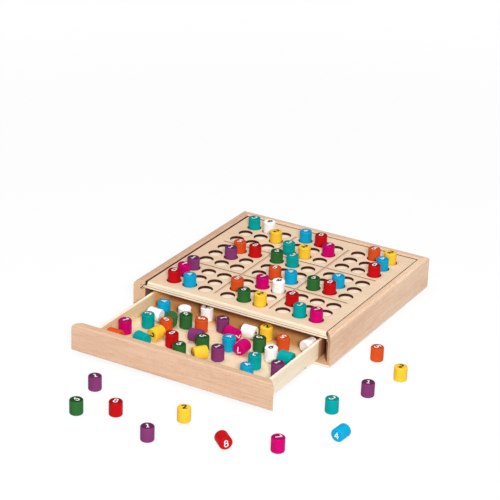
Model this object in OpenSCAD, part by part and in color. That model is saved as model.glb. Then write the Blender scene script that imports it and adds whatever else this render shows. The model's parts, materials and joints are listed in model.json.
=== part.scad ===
// A wooden sudoku board: a square of blind peg holes over a drawer, with its eighty-one number pegs.
// Millimetres. The origin is the middle of the underside, +X right, +Y back, +Z up.
// The drawer stands open toward -Y, and some pegs stand on the table beside the case.

/* [Pegs] */
// Diameter of a peg
peg_d = 14; // [10:0.5:20]
// Height of a peg
peg_h = 15.8; // [10:0.2:24]
// Rounding of both edges of a peg
peg_round = 1.5; // [0.2:0.1:3]

/* [Board] */
// Play of a peg in its hole, on the diameter
peg_play = 2; // [0.4:0.2:4]
// Wood between two holes of one block
hole_web = 4; // [2:0.5:12]
// More wood between two blocks
block_gap = 8; // [2:0.5:20]
// Wood beyond the outer holes at the left and the right
side_margin = 14.6; // [6:0.2:40]
// Wood beyond the outer holes at the back
back_margin = 15.6; // [6:0.2:40]
// Wood beyond the outer holes at the front
front_margin = 11.4; // [6:0.2:40]
// Thickness of the plate with the holes, which is how deep a peg stands
plate_t = 3; // [2.6:0.2:10]
// Thickness of the backing under the plate
backing_t = 5.6; // [3:0.2:10]
// Rounding of the front top edge of the plate
plate_round = 2; // [0.5:0.1:2.4]
// Width of the lines cut between the blocks
line_w = 2.4; // [0.5:0.1:4]
// Depth of the lines cut between the blocks
line_d = 0.4; // [0.2:0.1:2]
// How far a line runs past the outer holes, for the lines along X
row_line_past = 1; // [0:0.5:8]
// How far a line stops short of the outer holes' far edge, for the lines along Y
column_line_short = 4; // [0:0.5:12]

/* [Case] */
// Thickness of the rails and of the drawer front
rail_t = 9.6; // [7:0.2:20]
// Thickness of the base panel
base_t = 3; // [2:0.5:10]
// Height of the rails above the board
rail_rise = 2.1; // [0:0.1:10]
// Rounding of the top edges of the rails
rail_round = 2.4; // [0.5:0.1:3.4]
// Rounding of the front tips of the side rails, seen from the side
tip_round = 5; // [1:0.5:10]
// Reach of the backing into the grooves of the rails
tongue = 4; // [2:0.5:6]

/* [Drawer] */
// How far the drawer stands open
drawer_open = 118.8; // [0:0.2:150]
// Thickness of the drawer's sides and back
side_t = 3.4; // [2.4:0.2:8]
// Thickness of the drawer's bottom
floor_t = 3; // [2:0.5:6]
// Room above a peg that stands in the drawer
headroom = 4.1; // [1:0.1:20]
// Room between a drawer side and its rail
side_room = 7.2; // [0.5:0.1:15]
// Room behind the closed drawer
rear_room = 3.2; // [0.5:0.1:20]
// How far the drawer front ends below the top of the board
front_drop = 1; // [0:0.1:6]
// Rounding of the edges of the drawer front
front_round = 2; // [0.5:0.1:4]
// Rounding of the top corners of the drawer front, seen from the front
corner_round = 5; // [1:0.5:12]

/* [Clearances] */
// Gap under the drawer
run_gap = 0.3; // [0.1:0.1:2]
// Gap between the drawer's sides and the board
top_gap = 2.5; // [0.2:0.1:6]
// Gap between the plate and the rails
board_gap = 1; // [0.2:0.1:3]
// Gap between the board's front edge and the closed drawer front
front_gap = 1.2; // [0.2:0.1:3]
// Gap over the tongue in its groove
tongue_fit = 0.3; // [0.1:0.1:1]
// Gap at the end of the tongue in its groove
tongue_room = 0.4; // [0.1:0.1:2]
// Gap at the mitred ends of the drawer front, along X
mitre_gap = 0.6; // [0.2:0.1:3]
// Gap under a peg that lies on its side
lie_gap = 0.2; // [0.1:0.1:1]

/* [Hidden] */
// Holes along one side of the board, and along one side of a block
cells = 9;
block = 3;
// How far each cut runs past what it cuts
over = 1;
// Facets of the round forms
$fn = 64;

// The puzzle as it is set, front row first, with 0 for an empty hole
puzzle = [
    [8, 4, 0, 0, 6, 2, 0, 3, 7],
    [7, 0, 0, 5, 0, 0, 8, 0, 0],
    [1, 0, 0, 0, 7, 9, 0, 0, 0],
    [0, 0, 0, 0, 5, 4, 6, 8, 0],
    [0, 1, 0, 0, 0, 0, 0, 4, 0],
    [0, 5, 8, 6, 3, 0, 0, 0, 0],
    [0, 0, 0, 3, 2, 0, 0, 0, 8],
    [0, 0, 2, 0, 0, 7, 0, 0, 4],
    [3, 9, 0, 4, 8, 0, 0, 5, 2]
];
// Names of the columns, from the left
letters = "abcdefghi";

// Pegs that stand in the drawer: digit, place across and place from the front
standing_shares = [
    [1, -0.095, 0.52], [1, 0.22, 0.24], [1, 0.955, 0.255],
    [2, 0.42, 0.56],
    [3, -0.86, 0.355], [3, 0.655, 0.265],
    [4, -0.885, 0.52], [4, 0.2, 0.36], [4, 0.7, 0.155],
    [5, -0.61, 0.35], [5, -0.29, 0.455], [5, 0.705, 0.505],
    [6, -0.495, 0.455], [6, -0.165, 0.16], [6, -0.05, 0.295], [6, 0.495, 0.435],
    [7, -0.99, 0.235], [7, -0.665, 0.95],
    [8, -0.375, 0.24],
    [9, -0.605, 0.52], [9, -0.395, 0.585], [9, 0.72, 0.375], [9, 0.365, 0.95]
];
// Pegs that lie in the drawer, with the turn of the numbered end from +X in degrees
lying_shares = [
    [1, -0.21, 0.35, 10],
    [2, -0.61, 0.262, 262], [2, 0.045, 0.2, 232],
    [3, -0.67, 0.17, -15], [3, 0.9, 0.385, 0],
    [5, -0.97, 0.13, 0],
    [6, -0.66, 0.43, 119],
    [7, 0.105, 0.465, -15], [7, 0.365, 0.365, -90],
    [9, -0.88, 0.435, 180], [9, 0.24, 0.53, 0], [9, 0.96, 0.565, 75]
];
// Pegs that stand on the table: digit, then places from the origin in half widths and half depths
table_shares = [
    [1, -0.455, -2.425], [1, 0.365, -2.9], [1, 1.495, -1.255],
    [2, 0.445, -2.475], [2, 1.6, -0.845],
    [3, 1.375, -1.675],
    [5, 1.27, -0.625],
    [6, -0.35, -2.85],
    [7, 1.315, -2.48],
    [8, -0.07, -2.695]
];
// Pegs that lie on the table, with the turn of the numbered end from +X in degrees
fallen_shares = [
    [4, 1.645, -2.035, 265],
    [8, 0.92, -2.655, -40]
];

// Holes
hole_d = peg_d + peg_play;
pitch = hole_d + hole_web;
function hole_place(n) =
    (n - (cells - 1) / 2) * pitch + (floor(n / block) - (cells / block - 1) / 2) * block_gap;
reach = hole_place(cells - 1) + hole_d / 2;
line_place = (hole_place(block) + hole_place(block - 1)) / 2;

// Plan of the case: half widths along X and half depths along Y
plate_half = reach + side_margin;
in_half_w = plate_half + board_gap;
in_half_d = reach + (front_margin + back_margin + front_gap + board_gap) / 2;
half_w = in_half_w + rail_t;
half_d = in_half_d + rail_t;
plate_front = -in_half_d + front_gap;
plate_back = in_half_d - board_gap;
grid_y = plate_front + front_margin + reach;

// Heights
drawer_z = base_t + run_gap;
floor_z = drawer_z + floor_t;
under_z = floor_z + peg_h + headroom;
seat_z = under_z + backing_t;
top_z = seat_z + plate_t;
rail_h = top_z + rail_rise - base_t;

// Drawer
front_y = -half_d - drawer_open;
inner_y = front_y + rail_t;
drawer_len = 2 * in_half_d - rear_room;
drawer_depth = drawer_len - side_t;
drawer_half = in_half_w - side_room;
pocket_half = drawer_half - side_t;
side_h = under_z - top_gap - drawer_z;
front_h = top_z - front_drop - drawer_z;
end_w = half_w - mitre_gap;

// Paint of the pegs, by digit
function paint(d) = [
    "black", "purple", "gold", "teal", "deepskyblue",
    "orangered", "darkgreen", "mediumvioletred", "red", "white"
][d];
function peg_name(i, j) = str("peg_", puzzle[j][i], "_", letters[i], j + 1);
function drawer_pegs_name(d) = str("drawer_pegs_", d);
function table_pegs_name(d) = str("table_pegs_", d);
function has(table, d) = len([for (p = table) if (p[0] == d) p]) > 0;

// A rail's section: the inner face at 0, both top edges rounded
module rail_section() {
    square([rail_t, rail_h - rail_round]);
    translate([rail_round, 0])
        square([rail_t - 2 * rail_round, rail_h]);
    for (x = [rail_round, rail_t - rail_round])
        translate([x, rail_h - rail_round])
            circle(rail_round);
}

// The groove for the tongue, in the rail's section; the tongue rests on its lower lip
module groove_section() {
    translate([-over, under_z - base_t])
        square([over + tongue + tongue_room, backing_t + tongue_fit]);
}

// Half of the pair of side rails: mitred at the back for the back rail and at the front for the drawer
module side_rail() {
    difference() {
        intersection() {
            translate([in_half_w, half_d, base_t])
                rotate([90, 0, 0])
                    linear_extrude(2 * half_d)
                        rail_section();
            translate([0, 0, base_t])
                linear_extrude(rail_h)
                    polygon([
                        [half_w, -half_d],
                        [half_w, half_d],
                        [in_half_w, in_half_d],
                        [in_half_w, -in_half_d]
                    ]);
        }
        translate([in_half_w, half_d + over, base_t])
            rotate([90, 0, 0])
                linear_extrude(2 * (half_d + over))
                    groove_section();
        translate([in_half_w - over, -half_d, base_t + rail_h])
            rotate([90, 0, 90])
                linear_extrude(rail_t + 2 * over)
                    tip_section();
    }
}

// What the rounding of a tip takes away, in the side view with the corner at 0
module tip_section() {
    difference() {
        translate([-over, -tip_round])
            square(tip_round + over);
        translate([tip_round, -tip_round])
            circle(tip_round);
    }
}

module side_rails() {
    color("burlywood") {
        side_rail();
        mirror([1, 0, 0])
            side_rail();
    }
}

module back_rail() {
    color("burlywood")
        difference() {
            intersection() {
                translate([-half_w, in_half_d, base_t])
                    rotate([90, 0, 90])
                        linear_extrude(2 * half_w)
                            rail_section();
                translate([0, 0, base_t])
                    linear_extrude(rail_h)
                        polygon([
                            [-half_w, half_d],
                            [half_w, half_d],
                            [in_half_w, in_half_d],
                            [-in_half_w, in_half_d]
                        ]);
            }
            translate([-half_w - over, in_half_d, base_t])
                rotate([90, 0, 90])
                    linear_extrude(2 * (half_w + over))
                        groove_section();
        }
}

module base_panel() {
    color("tan")
        translate([-half_w, -half_d, 0])
            cube([2 * half_w, 2 * half_d, base_t]);
}

// The plate's section from front to back, with the front top edge rounded
module plate_section() {
    depth = plate_back - plate_front;
    intersection() {
        square([depth, plate_t]);
        union() {
            square([depth, plate_t - plate_round]);
            translate([plate_round, 0])
                square([depth - plate_round, plate_t]);
            translate([plate_round, plate_t - plate_round])
                circle(plate_round);
        }
    }
}

module hole_plate() {
    row_line = 2 * (reach + row_line_past);
    column_line = 2 * (reach - column_line_short);
    color("wheat")
        difference() {
            translate([-plate_half, plate_front, seat_z])
                rotate([90, 0, 90])
                    linear_extrude(2 * plate_half)
                        plate_section();
            for (j = [0 : cells - 1])
                for (i = [0 : cells - 1])
                    translate([hole_place(i), grid_y + hole_place(j), seat_z - over])
                        cylinder(d = hole_d, h = plate_t + 2 * over);
            for (s = [-1, 1]) {
                translate([-row_line / 2, grid_y + s * line_place - line_w / 2, top_z - line_d])
                    cube([row_line, line_w, line_d + over]);
                translate([s * line_place - line_w / 2, grid_y - column_line / 2, top_z - line_d])
                    cube([line_w, column_line, line_d + over]);
            }
        }
}

// The backing: as wide as the plate and the tongues at the left, the right and the back
module board_backing() {
    color("tan")
        translate([-in_half_w - tongue, plate_front, under_z])
            cube([2 * (in_half_w + tongue), in_half_d + tongue - plate_front, backing_t]);
}

// The drawer front's section, with its two top edges and its front bottom edge rounded
module front_section() {
    mid_t = rail_t - 2 * front_round;
    translate([front_round, 0])
        square([mid_t, front_h]);
    translate([0, front_round])
        square([rail_t, front_h - 2 * front_round]);
    translate([front_round, 0])
        square([rail_t - front_round, front_round]);
    for (z = [front_round, front_h - front_round])
        translate([front_round, z])
            circle(front_round);
    translate([rail_t - front_round, front_h - front_round])
        circle(front_round);
}

// The drawer front's outline from the front, with its top corners rounded
module front_outline() {
    flat_w = end_w - corner_round;
    translate([-end_w, 0])
        square([2 * end_w, front_h - corner_round]);
    translate([-flat_w, 0])
        square([2 * flat_w, front_h]);
    for (x = [-flat_w, flat_w])
        translate([x, front_h - corner_round])
            circle(corner_round);
}

module drawer_front() {
    color("burlywood")
        intersection() {
            translate([-end_w, front_y, drawer_z])
                rotate([90, 0, 90])
                    linear_extrude(2 * end_w)
                        front_section();
            translate([0, 0, drawer_z])
                linear_extrude(front_h)
                    polygon([
                        [-end_w, front_y],
                        [end_w, front_y],
                        [end_w - rail_t, inner_y],
                        [rail_t - end_w, inner_y]
                    ]);
            translate([0, inner_y, drawer_z])
                rotate([90, 0, 0])
                    linear_extrude(rail_t)
                        front_outline();
        }
}

module drawer_sides() {
    color("wheat")
        for (x = [-drawer_half, pocket_half])
            translate([x, inner_y, drawer_z])
                cube([side_t, drawer_len, side_h]);
}

module drawer_back() {
    color("wheat")
        translate([-pocket_half, inner_y + drawer_depth, floor_z])
            cube([2 * pocket_half, side_t, side_h - floor_t]);
}

module drawer_bottom() {
    color("tan")
        translate([-pocket_half, inner_y, drawer_z])
            cube([2 * pocket_half, drawer_len, floor_t]);
}

// A peg on its plain end, with both edges rounded
module peg(d) {
    color(paint(d))
        rotate_extrude() {
            square([peg_d / 2 - peg_round, peg_h]);
            translate([0, peg_round])
                square([peg_d / 2, peg_h - 2 * peg_round]);
            for (z = [peg_round, peg_h - peg_round])
                translate([peg_d / 2 - peg_round, z])
                    circle(peg_round);
        }
}

// A peg on its side, with its middle over the origin and its numbered end turned from +X
module lying_peg(d, turn) {
    translate([0, 0, lie_gap + peg_d / 2])
        rotate([0, 90, turn])
            translate([0, 0, -peg_h / 2])
                peg(d);
}

module board_peg(i, j) {
    translate([hole_place(i), grid_y + hole_place(j), seat_z])
        peg(puzzle[j][i]);
}

// Where a table of drawer pegs puts one: across the room for its middle, then from the front
function drawer_place(p) = [
    p[1] * (pocket_half - peg_d / 2), inner_y + p[2] * drawer_depth, floor_z
];

module drawer_pegs(d) {
    for (p = standing_shares)
        if (p[0] == d)
            translate(drawer_place(p))
                peg(d);
    for (p = lying_shares)
        if (p[0] == d)
            translate(drawer_place(p))
                lying_peg(d, p[3]);
}

module table_pegs(d) {
    for (p = table_shares)
        if (p[0] == d)
            translate([p[1] * half_w, p[2] * half_d, 0])
                peg(d);
    for (p = fallen_shares)
        if (p[0] == d)
            translate([p[1] * half_w, p[2] * half_d, 0])
                lying_peg(d, p[3]);
}

side_rails();
back_rail();
base_panel();
hole_plate();
board_backing();
drawer_front();
drawer_sides();
drawer_back();
drawer_bottom();
for (j = [0 : cells - 1])
    for (i = [0 : cells - 1])
        if (puzzle[j][i] > 0)
            board_peg(i, j);
for (d = [1 : cells])
    drawer_pegs(d);
for (d = [1 : cells])
    table_pegs(d);
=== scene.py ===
import json
import math

import bmesh
import bpy
from mathutils import Matrix, Vector

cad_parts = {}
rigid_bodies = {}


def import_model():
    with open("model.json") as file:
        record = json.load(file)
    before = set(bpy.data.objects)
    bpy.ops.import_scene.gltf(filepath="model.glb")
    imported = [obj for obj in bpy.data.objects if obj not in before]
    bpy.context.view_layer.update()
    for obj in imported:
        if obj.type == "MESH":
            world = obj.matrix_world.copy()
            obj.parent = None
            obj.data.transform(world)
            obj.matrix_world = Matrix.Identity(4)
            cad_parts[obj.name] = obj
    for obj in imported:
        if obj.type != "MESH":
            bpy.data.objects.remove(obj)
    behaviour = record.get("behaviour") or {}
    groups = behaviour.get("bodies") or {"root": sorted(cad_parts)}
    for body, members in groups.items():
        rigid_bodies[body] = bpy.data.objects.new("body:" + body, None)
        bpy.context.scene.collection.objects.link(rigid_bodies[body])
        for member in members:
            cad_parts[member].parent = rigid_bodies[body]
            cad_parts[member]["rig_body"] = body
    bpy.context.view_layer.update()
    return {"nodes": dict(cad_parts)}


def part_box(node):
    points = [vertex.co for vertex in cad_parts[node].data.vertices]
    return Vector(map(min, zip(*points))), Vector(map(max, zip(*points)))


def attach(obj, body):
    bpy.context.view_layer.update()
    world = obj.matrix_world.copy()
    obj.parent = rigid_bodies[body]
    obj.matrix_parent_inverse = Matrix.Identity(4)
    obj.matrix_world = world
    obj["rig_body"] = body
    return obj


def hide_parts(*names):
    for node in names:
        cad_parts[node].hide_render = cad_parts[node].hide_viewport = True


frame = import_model()
scene = bpy.context.scene
MM = 0.001

# Camera, fitted to the photograph: angles, place in metres and focal length in the picture's pixels
AZIMUTH, ELEVATION, ROLL = (math.radians(a) for a in (29.099, 23.949, 2.117))
CAMERA_PLACE = (0.891537, -1.682257, 0.903753)
FOCAL_PX, PICTURE_PX = 1885.09, 500
SENSOR = 36
CLIP = (0.05, 50)


def make_camera():
    """The photograph's view, with the middle of the picture as its axis."""
    flat = math.cos(ELEVATION)
    back = Vector((math.sin(AZIMUTH) * flat, -math.cos(AZIMUTH) * flat, math.sin(ELEVATION)))
    level = Vector((math.cos(AZIMUTH), math.sin(AZIMUTH), 0))
    upright = back.cross(level)
    right = level * math.cos(ROLL) + upright * math.sin(ROLL)
    up = upright * math.cos(ROLL) - level * math.sin(ROLL)
    data = bpy.data.cameras.new("camera")
    data.sensor_width = SENSOR
    data.lens = FOCAL_PX / PICTURE_PX * SENSOR
    data.clip_start, data.clip_end = CLIP
    cam = bpy.data.objects.new("camera", data)
    turn = Matrix((right, up, back)).transposed().to_4x4()
    cam.matrix_world = Matrix.Translation(CAMERA_PLACE) @ turn
    scene.collection.objects.link(cam)
    scene.camera = cam


make_camera()


# Sizes and places from the frame, in metres
def middle(node):
    lo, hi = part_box(node)
    return (lo + hi) / 2


case_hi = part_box("side_rails")[1]
plate_lo, plate_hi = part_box("hole_plate")
backing_lo, backing_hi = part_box("board_backing")
rear_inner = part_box("back_rail")[0].y
rail_t = case_hi.y - rear_inner
rail_inner = case_hi.x - rail_t
mitre_mid = case_hi.x - rail_t / 2
side_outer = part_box("drawer_sides")[1].x
front_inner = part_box("drawer_front")[1].y
pocket_hi_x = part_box("drawer_back")[1].x
pocket_hi_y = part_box("drawer_back")[0].y
floor_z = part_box("drawer_bottom")[1].z
peg_lo, peg_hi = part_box("peg_8_a1")
peg_d, peg_h = peg_hi.x - peg_lo.x, peg_hi.z - peg_lo.z
# The blue peg on the table lies on its side, with a small gap under it
lie_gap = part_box("table_pegs_4")[0].z
# Grid of the holes: its middle, its outer holes, the steps from hole to hole and from block to block
grid = (middle("peg_8_a1") + middle("peg_2_i9")) / 2
outer_hole = middle("peg_2_i9").x
pitch = middle("peg_4_b1").x - middle("peg_8_a1").x
block_pitch = outer_hole - pitch
hole_r = peg_d / 2 + 1 * MM

# Noise on paint, ink, steel and burns: cells in a metre along X, Y and Z
CELLS = {
    "cloud": (90, 90, 60),
    "peel": (700, 700, 700),
    "turned": (1600, 1600, 90),
    "film": (1500, 1500, 1500),
    "wear": (2500, 2500, 2500),
    "patch": (900, 900, 300),
}


# Node helpers
class Shader:
    """A material's node tree, with short calls for its nodes and a base colour built up in layers."""

    def __init__(self, name):
        self.mat = bpy.data.materials.new(name)
        self.mat.use_nodes = True
        self.tree = self.mat.node_tree
        self.tree.nodes.clear()
        self.bsdf = self.node("ShaderNodeBsdfPrincipled")
        self.out = self.node("ShaderNodeOutputMaterial")
        self.link(self.bsdf.outputs["BSDF"], self.out.inputs["Surface"])
        self.coords = self.node("ShaderNodeTexCoord").outputs["Object"]
        self.x, self.y, self.z = self.split(self.coords)
        self.nx, self.ny, self.nz = self.split(self.node("ShaderNodeNewGeometry").outputs["Normal"])
        self.base = None

    def node(self, kind, **props):
        n = self.tree.nodes.new(kind)
        for key, value in props.items():
            setattr(n, key, value)
        return n

    def link(self, a, b):
        self.tree.links.new(a, b)

    def put(self, socket, value):
        if isinstance(value, bpy.types.NodeSocket):
            self.link(value, socket)
        else:
            socket.default_value = value

    def surface(self, name, value):
        self.put(self.bsdf.inputs[name], value)

    def split(self, vec):
        n = self.node("ShaderNodeSeparateXYZ")
        self.put(n.inputs[0], vec)
        return n.outputs

    def scaled(self, vec, scale, start=(0, 0, 0)):
        n = self.node("ShaderNodeMapping")
        self.put(n.inputs["Vector"], vec)
        n.inputs["Scale"].default_value = scale
        n.inputs["Location"].default_value = start
        return n.outputs["Vector"]

    def noise(self, vec, detail=2.0, rough=0.5):
        n = self.node("ShaderNodeTexNoise")
        self.put(n.inputs["Vector"], vec)
        n.inputs["Scale"].default_value = 1.0
        n.inputs["Detail"].default_value = detail
        n.inputs["Roughness"].default_value = rough
        return n.outputs["Fac"]

    def cells(self, kind, detail=2.0, rough=0.5):
        return self.noise(self.scaled(self.coords, CELLS[kind]), detail, rough)

    def voronoi(self, vec):
        n = self.node("ShaderNodeTexVoronoi")
        self.put(n.inputs["Vector"], vec)
        n.inputs["Scale"].default_value = 1.0
        return n.outputs["Distance"], n.outputs["Color"]

    def math(self, op, a, b=0.0, c=0.0):
        n = self.node("ShaderNodeMath", operation=op)
        for socket, value in zip(n.inputs, (a, b, c)):
            self.put(socket, value)
        return n.outputs[0]

    def times(self, first, *others):
        for other in others:
            first = self.math("MULTIPLY", first, other)
        return first

    def most(self, first, *others):
        for other in others:
            first = self.math("MAXIMUM", first, other)
        return first

    def plus(self, a, b):
        return self.math("ADD", a, b)

    def minus(self, a, b):
        return self.math("SUBTRACT", a, b)

    def size(self, value):
        return self.math("ABSOLUTE", value)

    def length(self, x, y):
        return self.math("SQRT", self.plus(self.times(x, x), self.times(y, y)))

    def above(self, value, limit):
        return self.math("GREATER_THAN", value, limit)

    def below(self, value, limit):
        return self.math("LESS_THAN", value, limit)

    def within(self, value, mid, half):
        return self.math("COMPARE", value, mid, half)

    def remap(self, value, lo, hi, to_lo=0.0, to_hi=1.0, smooth=False):
        n = self.node("ShaderNodeMapRange")
        if smooth:
            n.interpolation_type = "SMOOTHSTEP"
        self.put(n.inputs["Value"], value)
        n.inputs["From Min"].default_value = lo
        n.inputs["From Max"].default_value = hi
        n.inputs["To Min"].default_value = to_lo
        n.inputs["To Max"].default_value = to_hi
        return n.outputs["Result"]

    def between(self, noise, lo, hi):
        """A noise, which keeps to about 0.3 to 0.7, stretched from lo to hi."""
        return self.remap(noise, 0.3, 0.7, lo, hi)

    def band(self, value, mid, outer, inner, top=1.0, smooth=False):
        """The top within inner of mid, falling to 0 at outer."""
        return self.remap(self.size(self.minus(value, mid)), outer, inner, 0.0, top, smooth)

    def mix(self, fac, a, b, blend="MIX"):
        n = self.node("ShaderNodeMix", data_type="RGBA", blend_type=blend)
        self.put(n.inputs[0], fac)
        for socket, value in zip(n.inputs[6:8], (a, b)):
            self.put(socket, value if isinstance(value, bpy.types.NodeSocket) else (*value, 1))
        return n.outputs[2]

    def bump(self, height, distance, strength):
        n = self.node("ShaderNodeBump")
        self.put(n.inputs["Height"], height)
        n.inputs["Distance"].default_value = distance
        n.inputs["Strength"].default_value = strength
        return n.outputs["Normal"]

    def lay(self, mask, colour, blend="MIX"):
        """Lays a colour over the base colour where the mask says."""
        self.base = self.mix(mask, self.base, colour, blend)

    def done(self):
        self.surface("Base Color", self.base)
        return self.mat


# Wood colours, board by board
WOOD = {
    "left_rail": (0.695, 0.44, 0.305),
    "right_rail": (0.91, 0.63, 0.445),
    "back_rail": (0.74, 0.525, 0.375),
    "drawer_front": (0.775, 0.50, 0.348),
    "base": (0.90, 0.70, 0.585),
    # The left drawer side's colour is its inner face, painted darker and more golden as the shade inside the
    # drawer
    "left_side_in_shade": (0.92, 0.66, 0.41),
    "right_side": (0.985, 0.82, 0.64),
    "drawer_back": (0.86, 0.62, 0.37),
    "drawer_floor": (0.88, 0.69, 0.47),
    "backing": (0.97, 0.785, 0.62),
    "plate": (0.85, 0.645, 0.46),
}
# Cuts, stains, painted shade and painted light on the wood
STAIN = {
    "rail_burn_and_shade": (0.050, 0.006, 0.001),
    "rail_under": (0.13, 0.045, 0.02),
    "back_burn_and_shade": (0.30, 0.13, 0.06),
    "groove_end_lit": (0.98, 0.69, 0.48),
    "gap_line_shade": (0.05, 0.010, 0.003),
    "mitre_lit": (0.79, 0.54, 0.34),
    "mitre_inner_shade": (0.12, 0.03, 0.01),
    "case_shade_brown": (0.93, 0.455, 0.13),
    "base_top": (0.62, 0.40, 0.23),
    "side_top": (0.985, 0.86, 0.68),
    "side_recess_shade": (0.54, 0.27, 0.135),
    "side_deep_shade": (0.26, 0.09, 0.035),
    "backing_edge": (0.99, 0.865, 0.68),
    "ply_line": (0.30, 0.15, 0.07),
    "lower_edge_shade": (0.09, 0.022, 0.006),
    "tongue": (0.06, 0.012, 0.004),
    "underside": (0.62, 0.26, 0.05),
    "plate_edge": (0.98, 0.85, 0.65),
    "cut_line": (0.30, 0.13, 0.06),
    "plate_burn_and_shade": (0.045, 0.004, 0.001),
}
# Slow drifts of tone along a board: the factor reached, and where it starts and ends in mm
DRIFT = {
    "rails": ((0.93, 0.89, 0.87), 90, -100),
    "drawer_front": ((0.90, 0.92, 0.89), -40, 110),
    "plate": ((0.97, 0.92, 0.91), -40, -105),
}
# Factor of the drawer front's upper side: painted shade
FRONT_TOP_SHADE = (0.94, 0.94, 0.90)
# How far a stain runs past the face that it belongs to
EDGE = 0.4 * MM
# Stretch about the board's front edge over which the drawer's wood is painted brown as the shade inside the
# case
SHADE_FROM, SHADE_TO = plate_lo.y - 9.6 * MM, plate_lo.y + 9.4 * MM

# Grain: length along it and width across it in mm, then the noise's detail and roughness
BROAD = (150, 20, 3.0, 0.55)
STREAK = (75, 1.7, 3.0, 0.60)
FIBRE = (10, 0.9, 3.0, 0.65)
WARP = (220, 30, 2.0, 0.50)
# Growth lines: their step in mm, how far they warp, and how they lean across the board and up it
RING, RING_WARP, RING_LEAN = 4.2, 9.0, (0.8, 0.55)
# Parts of the tone: broad drift, streaks, fibres and growth lines
TONE_PARTS = (1.2, 1.45, 2.0, 0.25)
# Flecks: length and width in mm, where they fade out within their cell, and which cells have one
FLECK, FLECK_FADE, FLECK_CHOICE = (4.2, 1.0), (0.34, 0.14), (0.55, 0.75)
# How much the light and the dark of the grain leave the mean, for red, green and blue
LIGHTER, DARKER = (0.7, 1.0, 1.1), (0.8, 1.15, 1.4)
PALEST = 0.97
FLECK_DARK, FLECK_DEPTH = 0.74, 0.6
WOOD_SPECULAR = 0.25


def grain(s, axis, seed):
    """The tone of a wood along one axis, its fibres and its flecks, each about 0 to 1."""
    p = s.scaled(s.coords, (1, 1, 1), (seed * 0.37, seed * 0.53, seed * 0.71))

    def along(length, width):
        scale = [1 / (width * MM)] * 3
        scale["XYZ".index(axis)] = 1 / (length * MM)
        return s.scaled(p, scale)

    def layer(length, width, detail, rough):
        return s.noise(along(length, width), detail, rough)

    x, y, z = s.split(p)
    lean_across, lean_up = RING_LEAN
    across = s.plus(s.times(y if axis == "X" else x, lean_across), s.times(z, lean_up))
    phase = s.plus(s.times(across, 1 / (RING * MM)), s.times(layer(*WARP), RING_WARP))
    rings = s.remap(s.math("SINE", s.times(phase, 2 * math.pi)), -1, 1)
    fibre = layer(*FIBRE)
    tone = 0.5
    for part, share in zip((layer(*BROAD), layer(*STREAK), fibre, rings), TONE_PARTS):
        tone = s.math("MULTIPLY_ADD", s.minus(part, 0.5), share, tone)
    distance, cell = s.voronoi(along(*FLECK))
    chosen = s.remap(s.split(cell)[0], *FLECK_CHOICE)
    fleck = s.times(s.remap(distance, *FLECK_FADE, smooth=True), chosen)
    return tone, fibre, fleck


def wood(name, axis, colour, seed, spread=0.12, rough=0.5, fleck_share=0.75):
    """Wood of one mean colour, its tone drifting by the spread to both sides along the grain."""
    s = Shader(name)
    tone, fibre, fleck = grain(s, axis, seed)
    light = tuple(min(PALEST, c * (1 + spread * k)) for c, k in zip(colour, LIGHTER))
    dark = tuple(c * (1 - spread * k) for c, k in zip(colour, DARKER))
    s.base = s.mix(tone, light, dark)
    s.lay(s.times(fleck, fleck_share), tuple(c * FLECK_DARK for c in dark))
    height = s.plus(fibre, s.times(fleck, -FLECK_DEPTH))
    s.surface("Roughness", s.between(fibre, rough - 0.06, rough + 0.10))
    s.surface("Normal", s.bump(height, 0.06 * MM, 0.6))
    s.surface("Specular IOR Level", WOOD_SPECULAR)
    return s


def two_sided(name, left, right, seed, spread):
    """Wood along Y with one mean colour left of the middle and another right of it."""
    s = wood(name, "Y", right, seed, spread)
    s.lay(s.below(s.x, 0.0), tuple(a / b for a, b in zip(left, right)), "MULTIPLY")
    return s


def ply(name, colour, seed, spread, rough=0.55, fleck_share=0.2):
    """Plywood, its grain along X, with fainter flecks than the beech."""
    return wood(name, "X", colour, seed, spread, rough, fleck_share)


def drift(s, board, place):
    factor, start, stop = DRIFT[board]
    s.lay(s.remap(place, start * MM, stop * MM), factor, "MULTIPLY")


def steepness(s):
    """1 on faces near upright, 0 on level ones."""
    return s.remap(s.size(s.nz), 0.6, 0.3, smooth=True)


def gap_burn_and_shade(s, inner_face, burn_and_shade_tone):
    """A rail's inner face beside the plate, burned by the saw and darkened with painted shade for the narrow
    gap, and painted shade on it below the board.
    """
    face = s.times(inner_face, steepness(s))
    # Burned by the saw and painted shade for the narrow gap: a dark band about the plate's height
    burn_and_gap_shade = s.band(s.z, plate_lo.z + 0.2 * MM, 3.6 * MM, 3.0 * MM)
    s.lay(s.times(burn_and_gap_shade, face), burn_and_shade_tone)
    under = s.remap(s.z, backing_lo.z + EDGE, backing_lo.z, 0.0, 0.8)
    s.lay(s.times(under, face), STAIN["rail_under"])


def groove_end(s):
    """The groove's floor where it runs out at the rail's tip: painted lighter against its shade, with a thin
    dark line of painted shade across it.
    """
    off = s.size(s.x)
    deep = s.times(s.above(off, rail_inner + EDGE), s.below(off, backing_hi.x + 1.4 * MM))
    tip = s.times(s.below(s.y, plate_lo.y + 9.4 * MM), s.above(s.size(s.nx), 0.9))
    cut = s.times(deep, tip, s.within(s.z, backing_lo.z + 1.9 * MM, 2.0 * MM))
    # Painted light: the groove's end lightened against its shade
    s.lay(cut, STAIN["groove_end_lit"])
    # Painted shade: a thin dark line across it
    gap_line_shade = s.band(s.z, backing_lo.z + 1.4 * MM, 0.9 * MM, 0.6 * MM)
    s.lay(s.times(cut, gap_line_shade), STAIN["gap_line_shade"])


def painted_case_shade(s):
    """Painted shade: the wood turns brown in the closed part of the case, behind the board's front edge."""
    s.lay(s.remap(s.y, SHADE_FROM, SHADE_TO, 0.0, 0.9, smooth=True), STAIN["case_shade_brown"])
    return s


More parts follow.
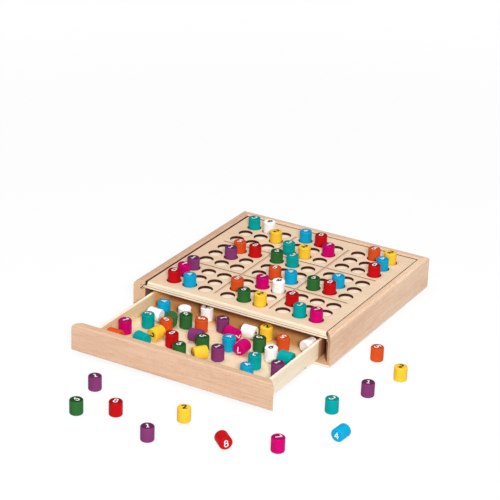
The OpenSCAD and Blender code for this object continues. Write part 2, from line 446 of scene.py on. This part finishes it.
def side_rail_material():
    """Beech of the side rails, the left one darker, their mitred ends painted lighter against their shade,
    and the inner half of the right one's mitred end painted dark as shade.
    """
    s = two_sided("beech_y", WOOD["left_rail"], WOOD["right_rail"], 2, 0.15)
    drift(s, "rails", s.y)
    # Painted light: the mitred ends, which face away from the lamps, lightened
    s.lay(s.remap(s.ny, -0.4, -0.6, 0.0, 0.7), STAIN["mitre_lit"])
    # Painted shade: the inner half of the right rail's mitred end darkened
    mitred = s.times(s.remap(s.nx, -0.5, -0.6), s.remap(s.ny, -0.5, -0.6), s.above(s.x, 0.0))
    inner_half = s.remap(s.x, mitre_mid - 0.6 * MM, mitre_mid - 1.4 * MM, 0.0, 0.85)
    s.lay(s.times(mitred, inner_half), STAIN["mitre_inner_shade"])
    groove_end(s)
    gap_burn_and_shade(s, s.below(s.size(s.x), rail_inner + EDGE), STAIN["rail_burn_and_shade"])
    return s.done()


def back_rail_material():
    """Beech of the back rail, burned and painted with gap shade beside the plate more lightly than the side
    rails.
    """
    s = wood("beech_back", "X", WOOD["back_rail"], 3)
    gap_burn_and_shade(s, s.below(s.y, rear_inner + EDGE), STAIN["back_burn_and_shade"])
    return s.done()


def front_material():
    """Beech of the drawer front, a little darker toward its right end, and on its upper side as painted
    shade.
    """
    s = wood("beech_x", "X", WOOD["drawer_front"], 1)
    drift(s, "drawer_front", s.x)
    s.lay(s.remap(s.nz, 0.3, 0.8), FRONT_TOP_SHADE, "MULTIPLY")
    return s.done()


def base_material():
    """Thin plywood, its upper face darker and browner."""
    s = ply("base_ply", WOOD["base"], 4, 0.08)
    s.lay(s.above(s.nz, 0.5), STAIN["base_top"])
    return s.done()


def side_material():
    """Drawer sides: pale top edges, the left one's inner face painted golden as the shade inside the drawer,
    and the right one's outer face painted dark as shade where it runs in the case.
    """
    s = two_sided("side_y", WOOD["left_side_in_shade"], WOOD["right_side"], 5, 0.09)
    s.lay(s.minus(1.0, steepness(s)), STAIN["side_top"])
    painted_case_shade(s)
    # Painted shade: the right side's outer face turns dark where it runs into the case, darkest further in
    outer = s.times(s.above(s.nx, 0.5), s.above(s.x, 0.0))
    shade_onset = s.remap(s.y, plate_lo.y - 5.1 * MM, plate_lo.y - 3.1 * MM)
    s.lay(s.times(outer, shade_onset), STAIN["side_recess_shade"])
    deep = s.remap(s.y, plate_lo.y - 0.6 * MM, plate_lo.y + 4.4 * MM)
    s.lay(s.times(outer, deep), STAIN["side_deep_shade"])
    return s.done()


def backing_material():
    """Pale plywood, its edge showing a thin dark layer and a dark joint, with painted shade along the edge's
    lower rim, on its upper part where it reaches past the plate into the rails, and on its lower face.
    """
    s = ply("backing", WOOD["backing"], 9, 0.05)
    steep = steepness(s)
    s.lay(steep, STAIN["backing_edge"])
    layer = s.band(s.z, (backing_lo.z + backing_hi.z) / 2, 0.40 * MM, 0.15 * MM, smooth=True)
    joint = s.remap(s.z, backing_hi.z - 0.35 * MM, backing_hi.z - 0.15 * MM)
    s.lay(s.times(s.most(layer, joint), steep), STAIN["ply_line"])
    # Painted shade along the lower rim of the edge
    lower_edge_shade = s.remap(s.z, backing_lo.z + 0.9 * MM, backing_lo.z + 0.5 * MM, 0.0, 0.95)
    s.lay(s.times(lower_edge_shade, steep), STAIN["lower_edge_shade"])
    # Painted shade on the upper part where it reaches past the plate into the rails
    tongue = s.above(s.size(s.x), plate_hi.x + 0.1 * MM)
    upper = s.remap(s.z, backing_lo.z + 3.5 * MM, backing_lo.z + 3.9 * MM)
    s.lay(s.times(tongue, upper), STAIN["tongue"])
    # Painted shade on the lower face, darkening the inside of the case
    s.lay(s.below(s.nz, -0.5), STAIN["underside"])
    return s.done()


# Lines between the blocks: half their width, and how far they run each way from the grid's middle
LINE_HALF = 1.15 * MM
ROW_REACH = outer_hole + hole_r + 1 * MM
COLUMN_REACH = outer_hole + hole_r - 4 * MM


def cut_line(s, across, along, reach):
    """A line cut between two blocks, on both sides of the middle: two dark edges and a fainter bed."""
    off = s.size(s.minus(s.size(across), block_pitch / 2))
    edges = s.band(off, LINE_HALF, 0.5 * MM, 0.1 * MM, 0.7)
    bed = s.remap(off, LINE_HALF + 0.15 * MM, LINE_HALF - 0.25 * MM, 0.0, 0.28)
    return s.times(s.most(edges, bed), s.below(s.size(along), reach))


def hole_offset(s, place):
    """The offset from the nearest hole along one axis, from a place about the grid's middle."""
    half = block_pitch / 2
    in_block = s.minus(s.math("FLOORED_MODULO", s.plus(place, half), block_pitch), half)
    nearest = s.math("ROUND", s.math("DIVIDE", in_block, pitch))
    nearest = s.most(s.math("MINIMUM", nearest, 1.0), -1.0)
    return s.minus(in_block, s.times(nearest, pitch))


def plate_material():
    """Plywood face with burned hole walls and cut edges, those edges and the face beside the rails also
    painted with the shade of the gaps, and brown lines between the blocks.
    """
    s = ply("plate", WOOD["plate"], 7, 0.08, 0.5, 0.25)
    drift(s, "plate", s.x)
    s.lay(s.remap(s.y, plate_lo.y + 1.1 * MM, plate_lo.y + 0.3 * MM), STAIN["plate_edge"])
    gx, gy = s.minus(s.x, grid.x), s.minus(s.y, grid.y)
    lines = s.most(cut_line(s, gx, gy, COLUMN_REACH), cut_line(s, gy, gx, ROW_REACH))
    radius = s.length(hole_offset(s, gx), hole_offset(s, gy))
    rim = s.remap(radius, hole_r + 0.5 * MM, hole_r + 0.05 * MM, 0.0, 0.75, smooth=True)
    grid_end = outer_hole + pitch / 2
    rim = s.times(rim, s.below(s.size(gx), grid_end), s.below(s.size(gy), grid_end))
    wall = s.times(steepness(s), s.above(s.y, plate_lo.y + 0.9 * MM))
    # Painted shade: the face darkened along its left and right edges, for the gaps to the rails
    left_gap_shade = s.remap(s.x, plate_lo.x + 0.9 * MM, plate_lo.x + 0.5 * MM, 0.0, 0.9)
    right_gap_shade = s.remap(s.x, plate_hi.x - 0.7 * MM, plate_hi.x - 0.3 * MM, 0.0, 0.9)
    burn_and_gap_shade = s.most(rim, wall, left_gap_shade, right_gap_shade)
    patchy = s.between(s.cells("patch", 3.0), 0.95, 1.0)
    s.lay(s.times(lines, patchy), STAIN["cut_line"])
    s.lay(s.times(burn_and_gap_shade, patchy), STAIN["plate_burn_and_shade"])
    s.surface("Specular IOR Level", s.remap(burn_and_gap_shade, 0.0, 0.5, WOOD_SPECULAR, 0.0))
    return s.done()


# Paint: digit -> colour of the lacquer and the share of it kept on the ends that face up, darkened there as
# painted shade
PAINT = {
    1: ((0.226, 0.039, 0.158), 0.50),
    2: ((0.930, 0.570, 0.039), 0.95),
    3: ((0.001, 0.352, 0.352), 0.68),
    4: ((0.004, 0.372, 0.645), 0.75),
    5: ((0.702, 0.084, 0.015), 0.75),
    6: ((0.027, 0.145, 0.034), 0.44),
    7: ((0.575, 0.001, 0.146), 0.65),
    8: ((0.550, 0.005, 0.009), 0.56),
    9: ((0.990, 0.985, 0.965), 1.0),
}
PAINT_SPECULAR = 0.04
# Ink and steel: the two tones that each drifts between
WHITE_INK = (0.96, 0.955, 0.95), (0.88, 0.875, 0.87)
BLACK_INK = (0.012, 0.011, 0.011), (0.035, 0.032, 0.03)
STEEL = (0.03, 0.028, 0.026), (0.08, 0.075, 0.07)
# Heights above their floor of a lying peg's upper sides, which get no painted shade: middle and half range
LYING_MID, LYING_HALF = lie_gap + peg_d - 1.95 * MM, 2.4 * MM


def paint_material(d):
    """Sprayed lacquer on turned wood: faint orange peel, grain telling through, and painted shade darkening
    the ends that face up.
    """
    s = Shader("paint_%d" % d)
    colour, left = PAINT[d]
    low, high = tuple(v * 0.92 for v in colour), tuple(min(1.0, v * 1.06) for v in colour)
    s.base = s.mix(s.between(s.cells("cloud", 3.0), 0.0, 1.0), low, high)
    lying = s.most(*(s.within(s.z, floor + LYING_MID, LYING_HALF) for floor in (0.0, floor_z)))
    # Painted shade: ends facing up, except the upper sides of lying pegs, darker by the share in PAINT
    end = s.times(s.remap(s.nz, 0.55, 0.9), s.minus(1.0, lying))
    s.lay(end, tuple(v * left for v in colour))
    peel = s.cells("peel")
    height = s.plus(s.times(peel, 0.6), s.times(s.cells("turned"), 0.4))
    s.surface("Roughness", s.between(peel, 0.30, 0.40))
    s.surface("Normal", s.bump(height, 0.04 * MM, 0.5))
    s.surface("Specular IOR Level", PAINT_SPECULAR)
    return s.done()


def ink_material(name, light, dark):
    """Pad-printed ink with a slightly uneven film."""
    s = Shader(name)
    film = s.cells("film", 3.0, 0.6)
    s.base = s.mix(s.remap(film, 0.35, 0.7), light, dark)
    s.surface("Roughness", s.between(film, 0.38, 0.52))
    s.surface("Specular IOR Level", PAINT_SPECULAR)
    return s.done()


def nail_material():
    """Dull steel, with uneven wear."""
    s = Shader("nail_steel")
    wear = s.cells("wear", 3.0, 0.6)
    s.base = s.mix(wear, *STEEL)
    s.surface("Metallic", 0.85)
    s.surface("Roughness", s.between(wear, 0.4, 0.6))
    return s.done()


paint = {d: paint_material(d) for d in PAINT}
ink_white = ink_material("ink_white", *WHITE_INK)
ink_black = ink_material("ink_black", *BLACK_INK)


# Geometry helpers
def new_object(name, mesh):
    ob = bpy.data.objects.new(name, mesh)
    scene.collection.objects.link(ob)
    return ob


def finished_mesh(bm, name):
    mesh = bpy.data.meshes.new(name)
    bm.to_mesh(mesh)
    bm.free()
    return mesh


def smoothed(mesh):
    mesh.polygons.foreach_set("use_smooth", [True] * len(mesh.polygons))


def applied(ob):
    """Makes the object's modifiers real."""
    bpy.context.view_layer.update()
    graph = bpy.context.evaluated_depsgraph_get()
    mesh = bpy.data.meshes.new_from_object(ob.evaluated_get(graph))
    ob.modifiers.clear()
    ob.data = mesh


def dress(ob, material):
    ob.data.materials.clear()
    ob.data.materials.append(material)


def flat_faced(src, name):
    """A copy of a mesh with its triangles joined into flat faces."""
    bm = bmesh.new()
    bm.from_mesh(src)
    bmesh.ops.remove_doubles(bm, verts=bm.verts[:], dist=0.002 * MM)
    bmesh.ops.dissolve_limit(bm, angle_limit=math.radians(0.6), verts=bm.verts[:], edges=bm.edges[:])
    bm.verts.index_update()
    verts = [v.co.copy() for v in bm.verts]
    faces = [[v.index for v in f.verts] for f in bm.faces]
    bm.free()
    mesh = bpy.data.meshes.new(name)
    mesh.from_pydata(verts, [], faces)
    mesh.validate()
    return mesh


def eased(node, material, ease=0.45):
    """A copy of a CAD node with its sharp edges sanded by some mm, standing for the node."""
    src = frame["nodes"][node]
    ob = new_object(node + "_wood", flat_faced(src.data, node + "_wood"))
    mod = ob.modifiers.new("ease", "BEVEL")
    mod.width = ease * MM
    mod.segments = 3
    mod.limit_method = "ANGLE"
    mod.angle_limit = math.radians(35)
    mod.use_clamp_overlap = True
    applied(ob)
    smoothed(ob.data)
    ob.data.set_sharp_from_angle(angle=math.radians(48))
    mod = ob.modifiers.new("flat", "WEIGHTED_NORMAL")
    mod.keep_sharp = True
    mod.weight = 80
    applied(ob)
    dress(ob, material)
    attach(ob, src["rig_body"])
    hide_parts(node)


# Wooden pieces
eased("side_rails", side_rail_material())
eased("back_rail", back_rail_material())
eased("drawer_front", front_material())
eased("base_panel", base_material(), 0.3)
eased("board_backing", backing_material(), 0.2)
eased("drawer_sides", side_material(), 0.35)
eased("drawer_back", painted_case_shade(ply("side_x", WOOD["drawer_back"], 6, 0.10)).done(), 0.3)
eased("drawer_bottom", painted_case_shade(ply("floor_ply", WOOD["drawer_floor"], 8, 0.10)).done(), 0.15)

# Pieces whose CAD mesh shows as it is
dress(frame["nodes"]["hole_plate"], plate_material())
for name, ob in frame["nodes"].items():
    if name.startswith("peg_"):
        dress(ob, paint[int(name[4])])
    elif "_pegs_" in name:
        dress(ob, paint[int(name[-1])])


# Numbers, printed on one end of each peg: their height, and the film's rise off the peg
DIGIT_H = 6.5 * MM
INK = 0.03 * MM
# Width of a stroke, finer on a lying peg, whose number faces the viewer
STROKE = {"standing": 1.18 * MM, "lying": 1.0 * MM}
# Digits printed in black, and how much bolder they are
BLACK, BOLD = (2, 9), 1.5
ARC_STEP = 12


def arc(cx, cy, rx, ry, start, stop):
    steps = max(2, round(abs(stop - start) / ARC_STEP))
    angles = [math.radians(start + (stop - start) * k / steps) for k in range(steps + 1)]
    return [(cx + rx * math.cos(a), cy + ry * math.sin(a)) for a in angles]


# Strokes of each digit in a box of height 1 about its middle
STROKES = {
    1: [[(-0.20, 0.27), (0.03, 0.5)], [(0.03, 0.5), (0.03, -0.5)], [(-0.2, -0.5), (0.26, -0.5)]],
    2: [arc(0, 0.23, 0.28, 0.27, 170, -35) + [(-0.3, -0.5)], [(-0.3, -0.5), (0.31, -0.5)]],
    3: [arc(-0.02, 0.26, 0.25, 0.24, 150, -90), arc(-0.02, -0.24, 0.29, 0.26, 90, -150)],
    4: [[(0.12, -0.5), (0.12, 0.5)], [(0.12, 0.5), (-0.33, -0.2), (0.34, -0.2)]],
    5: [[(0.25, 0.5), (-0.2, 0.5), (-0.24, 0.03)] + arc(-0.02, -0.2, 0.3, 0.3, 125, -150)],
    6: [arc(0, -0.21, 0.28, 0.29, 0, 360), [(0.2, 0.47), (-0.1, 0.27), (-0.25, 0.0), (-0.28, -0.2)]],
    7: [[(-0.29, 0.5), (0.3, 0.5)], [(0.3, 0.5), (-0.08, -0.5)]],
    8: [arc(0, 0.26, 0.23, 0.24, 0, 360), arc(0, -0.24, 0.28, 0.26, 0, 360)],
}
STROKES[9] = [[(-x, -y) for x, y in line] for line in STROKES[6]]


def add_stroke(bm, points, wide):
    """A flat band of one width along the points, closed where the last point meets the first."""
    ring = (points[0] - points[-1]).length < 0.001 * MM
    if ring:
        points = points[:-1]
    n = len(points)
    sides = []
    for k, p in enumerate(points):
        before = (p - points[k - 1]).normalized() if ring or k > 0 else None
        after = (points[(k + 1) % n] - p).normalized() if ring or k < n - 1 else None
        before, after = before or after, after or before
        way = (before + after).normalized()
        out = Vector((-way.y, way.x, 0)) * wide / 2 / max(0.6, way.dot(before))
        sides.append([bm.verts.new(p + out * side) for side in (-1, 1)])
    for k in range(n if ring else n - 1):
        a, b = sides[k], sides[(k + 1) % n]
        bm.faces.new((a[0], b[0], b[1], a[1]))


def digit_mesh(d, stance):
    """The digit as flat bands, its foot toward -Y."""
    wide = STROKE[stance] * (BOLD if d in BLACK else 1.0)
    bm = bmesh.new()
    for line in STROKES[d]:
        add_stroke(bm, [Vector((x, y, 0)) * DIGIT_H for x, y in line], wide)
    return finished_mesh(bm, "digit_%d_%s" % (d, stance))


DIGITS = {(d, stance): digit_mesh(d, stance) for d in PAINT for stance in STROKE}


def print_digits(name, body, d, ends):
    """One piece with the digit printed on each peg's end: its centre, outward axis and turn in degrees."""
    bm = bmesh.new()
    for centre, axis, turn in ends:
        standing = abs(axis.z) > 0.5
        up = Vector((0, 1, 0)) if standing else Vector((0, 0, 1))
        right = up.cross(axis).normalized()
        facing = Matrix((right, axis.cross(right), axis)).transposed().to_4x4()
        place = Matrix.Translation(centre + axis * INK)
        mesh = DIGITS[d, "standing" if standing else "lying"].copy()
        mesh.transform(place @ facing @ Matrix.Rotation(math.radians(turn), 4, "Z"))
        bm.from_mesh(mesh)
        bpy.data.meshes.remove(mesh)
    mesh = finished_mesh(bm, name)
    mesh.materials.append(ink_black if d in BLACK else ink_white)
    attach(new_object(name, mesh), body)


UP = Vector((0, 0, 1))


def standing_end(foot, turn):
    return foot + UP * peg_h, UP, turn


def lying_end(foot, heading, turn):
    a = math.radians(heading)
    axis = Vector((math.cos(a), math.sin(a), 0))
    return foot + UP * (lie_gap + peg_d / 2) + axis * peg_h / 2, axis, turn


def hidden_end(foot, turn):
    """The number under a peg that stands upside down, kept clear of the floor."""
    return foot + UP * 2 * INK, -UP, turn


# Board pegs: turn of each number in degrees by hole, level with the board for the rest
TURNS = {
    "i1": -12, "f1": -6, "h1": -6, "d2": -6, "g2": -6, "a3": -6, "e3": -6, "f3": -12, "e4": 6, "f4": -6,
    "g4": 12, "b5": -6, "h5": -10, "b6": -6, "c6": -6, "d6": 12, "e6": -6, "d7": -6, "e7": -6, "c8": -12,
    "i8": -6, "a9": -18, "b9": -12, "d9": -12, "e9": 6, "h9": -18, "i9": -6,
}
for name in frame["nodes"]:
    if name.startswith("peg_"):
        foot = middle(name) - UP * peg_h / 2
        end = standing_end(foot, TURNS.get(name[6:], 0))
        print_digits("number_" + name[4:], name, int(name[4]), [end])

# Drawer pegs: digit, share of the half width, share of the depth from the front, turn of the number
DRAWER_STANDING = [
    (1, -0.095, 0.52, 138), (1, 0.22, 0.24, -18), (1, 0.955, 0.255, -18),
    (2, 0.42, 0.56, 66),
    (3, -0.86, 0.355, 90), (3, 0.655, 0.265, 192),
    (4, -0.885, 0.52, 108), (4, 0.2, 0.36, 132), (4, 0.7, 0.155, 90),
    (5, -0.61, 0.35, 54), (5, -0.29, 0.455, 270), (5, 0.705, 0.505, 168),
    (6, -0.495, 0.455, 228), (6, -0.165, 0.16, -6), (6, -0.05, 0.295, 312), (6, 0.495, 0.435, 276),
    (7, -0.99, 0.235, -12), (7, -0.665, 0.95, 132),
    (8, -0.375, 0.24, -6),
    (9, -0.395, 0.585, -18), (9, 0.72, 0.375, 180), (9, 0.365, 0.95, -24),
]
# A lying peg has its heading in degrees before the turn of its number
DRAWER_LYING = [
    (1, -0.21, 0.35, 10, 0),
    (2, -0.61, 0.262, 262, -48), (2, 0.045, 0.2, 232, 270),
    (3, -0.67, 0.17, 165, 0), (3, 0.9, 0.385, 180, 0),
    (5, -0.97, 0.13, 180, 0),
    (6, -0.66, 0.43, 119, 0),
    (7, 0.105, 0.465, -15, 246), (7, 0.365, 0.365, -90, 198),
    (9, -0.88, 0.435, 180, 0), (9, 0.24, 0.53, 0, 192), (9, 0.96, 0.565, 75, 0),
]
# One white peg stands with its number down
DRAWER_UPSIDE_DOWN = [(9, -0.605, 0.52, 0)]
# Table pegs in the same way, with shares of the case's half width and half depth
TABLE_STANDING = [
    (1, -0.455, -2.425, 48), (1, 0.365, -2.9, 36), (1, 1.495, -1.255, 18),
    (2, 0.445, -2.475, 42), (2, 1.6, -0.845, 12),
    (3, 1.375, -1.675, -18),
    (5, 1.27, -0.625, -30),
    (6, -0.35, -2.85, 78),
    (7, 1.315, -2.48, -24),
    (8, -0.07, -2.695, 12),
]
TABLE_LYING = [(4, 1.645, -2.035, 265, 6), (8, 0.92, -2.655, -40, 6)]


def drawer_place(across, back):
    half_width, depth = pocket_hi_x - peg_d / 2, pocket_hi_y - front_inner
    return Vector((across * half_width, front_inner + back * depth, floor_z))


def table_place(across, back):
    return Vector((across * case_hi.x, back * case_hi.y, 0))


def ends_of(d, rows, place, end):
    return [end(place(*row[1:3]), *row[3:]) for row in rows if row[0] == d]


for d in PAINT:
    ends = ends_of(d, DRAWER_STANDING, drawer_place, standing_end)
    ends += ends_of(d, DRAWER_LYING, drawer_place, lying_end)
    ends += ends_of(d, DRAWER_UPSIDE_DOWN, drawer_place, hidden_end)
    print_digits("drawer_numbers_%d" % d, "drawer", d, ends)
    ends = ends_of(d, TABLE_STANDING, table_place, standing_end)
    ends += ends_of(d, TABLE_LYING, table_place, lying_end)
    if ends:
        print_digits("table_numbers_%d" % d, "case", d, ends)

# Nails: places along the drawer's sides, radius, thickness over width, and rise off the side
NAIL_Y = (-141.5 * MM, -85 * MM, -30 * MM)
NAIL_R, NAIL_FLAT, NAIL_RISE = 0.85 * MM, 0.25, 0.02 * MM


def nails():
    """Flat heads of the nails through the drawer's sides into its bottom."""
    bm = bmesh.new()
    flat = Matrix.Rotation(math.radians(90), 4, "Y") @ Matrix.Diagonal((1, 1, NAIL_FLAT, 1))
    for side in (-1, 1):
        for y in NAIL_Y:
            place = Vector((side * (side_outer + NAIL_RISE), y, middle("drawer_bottom").z))
            head = Matrix.Translation(place) @ flat
            bmesh.ops.create_uvsphere(bm, u_segments=16, v_segments=8, radius=NAIL_R, matrix=head)
    mesh = finished_mesh(bm, "drawer_nails")
    smoothed(mesh)
    mesh.materials.append(nail_material())
    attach(new_object("drawer_nails", mesh), "drawer")


nails()

# Floor: half its width and its drop below the object in metres
FLOOR_HALF, FLOOR_DROP = 6.0, 0.1 * MM
# Its grey for the light that it throws back, and for the eye
BOUNCE_GREY, SEEN_GREY = (0.66, 0.66, 0.66), (0.96, 0.96, 0.96)
# Share of plain white that the eye sees: less near the object, so that part of its shadow stays
NEAR, NEAR_WHITE = 0.4, 0.85
FAR, FAR_WHITE = 1.2, 1.0


def make_floor():
    """Pale floor that the camera sees as white, with part of the object's shadow kept."""
    s = Shader("floor")
    s.surface("Roughness", 0.9)
    s.surface("Specular IOR Level", 0.0)
    glow = s.node("ShaderNodeEmission")
    glow.inputs["Color"].default_value = (1, 1, 1, 1)
    glow.inputs["Strength"].default_value = 1.0
    path = s.node("ShaderNodeLightPath")
    seen = s.most(*(path.outputs["Is %s Ray" % kind] for kind in ("Camera", "Glossy", "Transmission")))
    s.base = s.mix(seen, BOUNCE_GREY, SEEN_GREY)
    white = s.remap(s.length(s.x, s.y), NEAR, FAR, NEAR_WHITE, FAR_WHITE, smooth=True)
    both = s.node("ShaderNodeMixShader")
    s.link(s.times(seen, white), both.inputs[0])
    s.link(s.bsdf.outputs["BSDF"], both.inputs[1])
    s.link(glow.outputs["Emission"], both.inputs[2])
    s.link(both.outputs[0], s.out.inputs["Surface"])
    bm = bmesh.new()
    bmesh.ops.create_grid(bm, x_segments=1, y_segments=1, size=FLOOR_HALF)
    mesh = finished_mesh(bm, "floor")
    mesh.materials.append(s.done())
    floor = new_object("floor", mesh)
    floor.location.z = -FLOOR_DROP


make_floor()

# Light: an even white surround, a small lamp to the right of the camera and a broad one above the object
SURROUND = 0.24
LAMPS = {
    "key_box": {"place": (1.36, -1.90, 1.26), "size": 0.45, "power": 52},
    "top_box": {"place": (-0.2, 0.0, 2.4), "size": 1.8, "power": 30},
}
LAMP_AIM = Vector((0, -0.05, 0.02))


def make_light():
    world = bpy.data.worlds.new("studio")
    world.use_nodes = True
    back = world.node_tree.nodes["Background"]
    back.inputs["Color"].default_value = (1, 1, 1, 1)
    back.inputs["Strength"].default_value = SURROUND
    scene.world = world
    for name, lamp in LAMPS.items():
        data = bpy.data.lights.new(name, "AREA")
        data.shape = "SQUARE"
        data.size = lamp["size"]
        data.energy = lamp["power"]
        ob = bpy.data.objects.new(name, data)
        ob.location = lamp["place"]
        ob.rotation_mode = "QUATERNION"
        ob.rotation_quaternion = (LAMP_AIM - Vector(lamp["place"])).to_track_quat("-Z", "Y")
        scene.collection.objects.link(ob)


make_light()
scene.view_settings.view_transform = "Standard"
